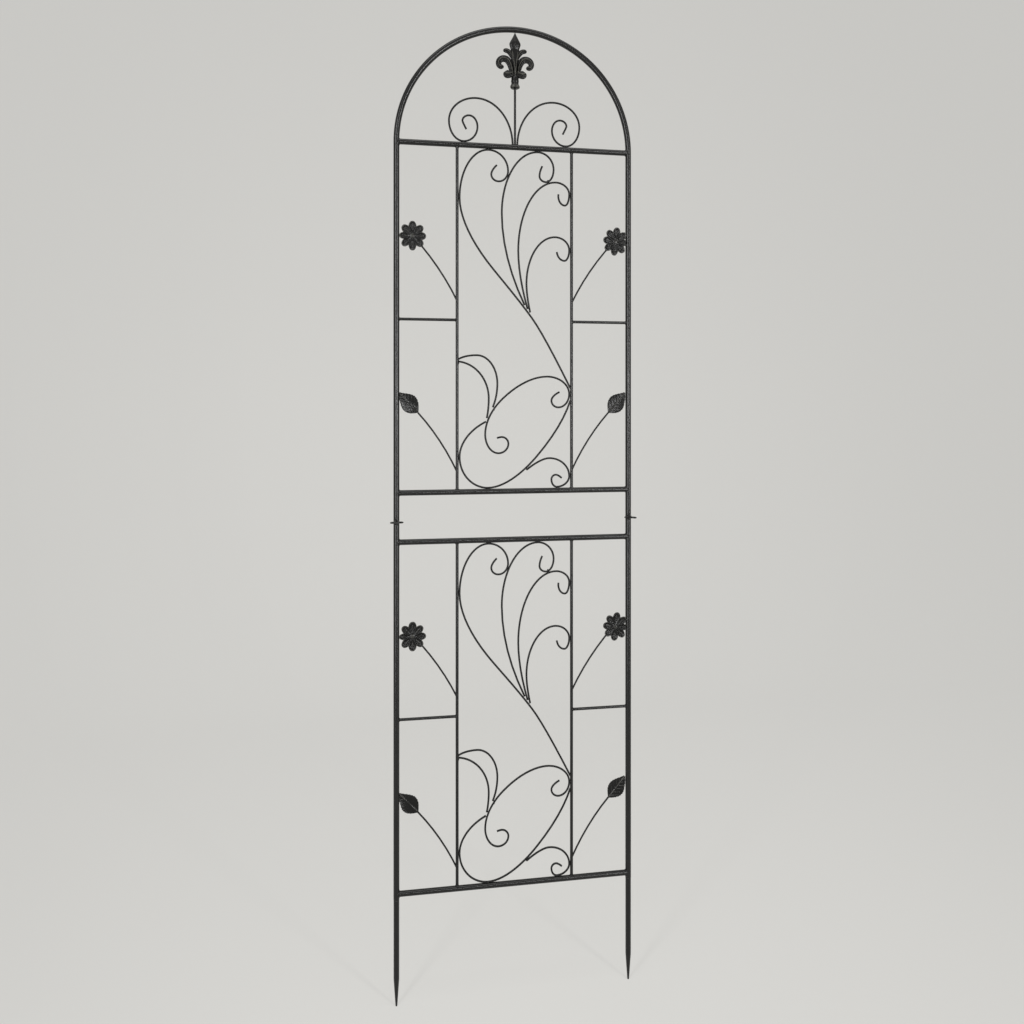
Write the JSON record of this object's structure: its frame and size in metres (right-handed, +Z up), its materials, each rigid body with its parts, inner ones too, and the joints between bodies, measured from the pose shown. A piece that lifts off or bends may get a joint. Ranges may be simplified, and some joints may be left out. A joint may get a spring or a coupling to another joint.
{
  "type": "garden trellis",
  "caption": "Black metal garden trellis of two plug-together panels, with an arched top, scrollwork, flowers and a fleur-de-lis.",
  "frame": {"origin": "level of the stake tips, midway between the two posts and on the plane of their axes", "axes": "+X across the trellis to the right as seen from the front, +Y from the front to the back, +Z up; the wing screws are on the front"},
  "size_m": [0.515, 0.029, 2.003],
  "materials": {
    "frame_coat": "satin black powder coat on steel tube",
    "bar_coat": "satin black powder coat on solid bar",
    "wire_coat": "satin black powder coat on bent wire",
    "pressed_coat": "satin black powder coat on pressed sheet",
    "cast_coat": "satin black powder coat on a casting",
    "screw_coat": "black coated steel",
    "stake_coat": "satin black powder coat on solid bar"
  },
  "bodies": {
    "lower_panel": {"lower_left_post": "frame_coat", "lower_right_post": "frame_coat", "left_stake": "stake_coat", "right_stake": "stake_coat", "left_screw_boss": "frame_coat", "right_screw_boss": "frame_coat", "lower_bottom_rail": "frame_coat", "lower_top_rail": "frame_coat", "lower_left_upright": "bar_coat", "lower_right_upright": "bar_coat", "lower_left_crossbar": "bar_coat", "lower_right_crossbar": "bar_coat", "lower_heart_scroll": "wire_coat", "lower_lobe_scroll": "wire_coat", "lower_tall_frond": "wire_coat", "lower_middle_frond": "wire_coat", "lower_short_frond": "wire_coat", "lower_s_scroll": "wire_coat", "lower_outer_crescent": "wire_coat", "lower_inner_crescent": "wire_coat", "lower_tail_scroll": "wire_coat", "lower_left_flower": "pressed_coat", "lower_right_flower": "pressed_coat", "lower_left_flower_stem": "wire_coat", "lower_right_flower_stem": "wire_coat", "lower_left_leaf": "pressed_coat", "lower_right_leaf": "pressed_coat", "lower_left_leaf_stem": "wire_coat", "lower_right_leaf_stem": "wire_coat"},
    "upper_panel": {"arch_frame": "frame_coat", "upper_bottom_rail": "frame_coat", "upper_top_rail": "frame_coat", "upper_left_upright": "bar_coat", "upper_right_upright": "bar_coat", "upper_left_crossbar": "bar_coat", "upper_right_crossbar": "bar_coat", "upper_heart_scroll": "wire_coat", "upper_lobe_scroll": "wire_coat", "upper_tall_frond": "wire_coat", "upper_middle_frond": "wire_coat", "upper_short_frond": "wire_coat", "upper_s_scroll": "wire_coat", "upper_outer_crescent": "wire_coat", "upper_inner_crescent": "wire_coat", "upper_tail_scroll": "wire_coat", "upper_left_flower": "pressed_coat", "upper_right_flower": "pressed_coat", "upper_left_flower_stem": "wire_coat", "upper_right_flower_stem": "wire_coat", "upper_left_leaf": "pressed_coat", "upper_right_leaf": "pressed_coat", "upper_left_leaf_stem": "wire_coat", "upper_right_leaf_stem": "wire_coat", "left_top_scroll": "wire_coat", "right_top_scroll": "wire_coat", "finial": "cast_coat", "finial_rod": "bar_coat"},
    "left_wing_screw": {"left_wing_screw": "screw_coat"},
    "right_wing_screw": {"right_wing_screw": "screw_coat"}
  },
  "joints": [
    {"name": "panel_lift", "type": "slide", "parent": "lower_panel", "child": "upper_panel", "axis": [0, 0, 1], "range_m": [0, 0.075]},
    {"name": "left_screw_turn", "type": "hinge", "parent": "lower_panel", "child": "left_wing_screw", "pos_m": [-0.244, -0.0125, 0.982], "axis": [0, -1, 0], "range_deg": [0, 720]},
    {"name": "right_screw_turn", "type": "hinge", "parent": "lower_panel", "child": "right_wing_screw", "pos_m": [0.244, -0.0125, 0.982], "axis": [0, -1, 0], "range_deg": [0, 720]}
  ]
}
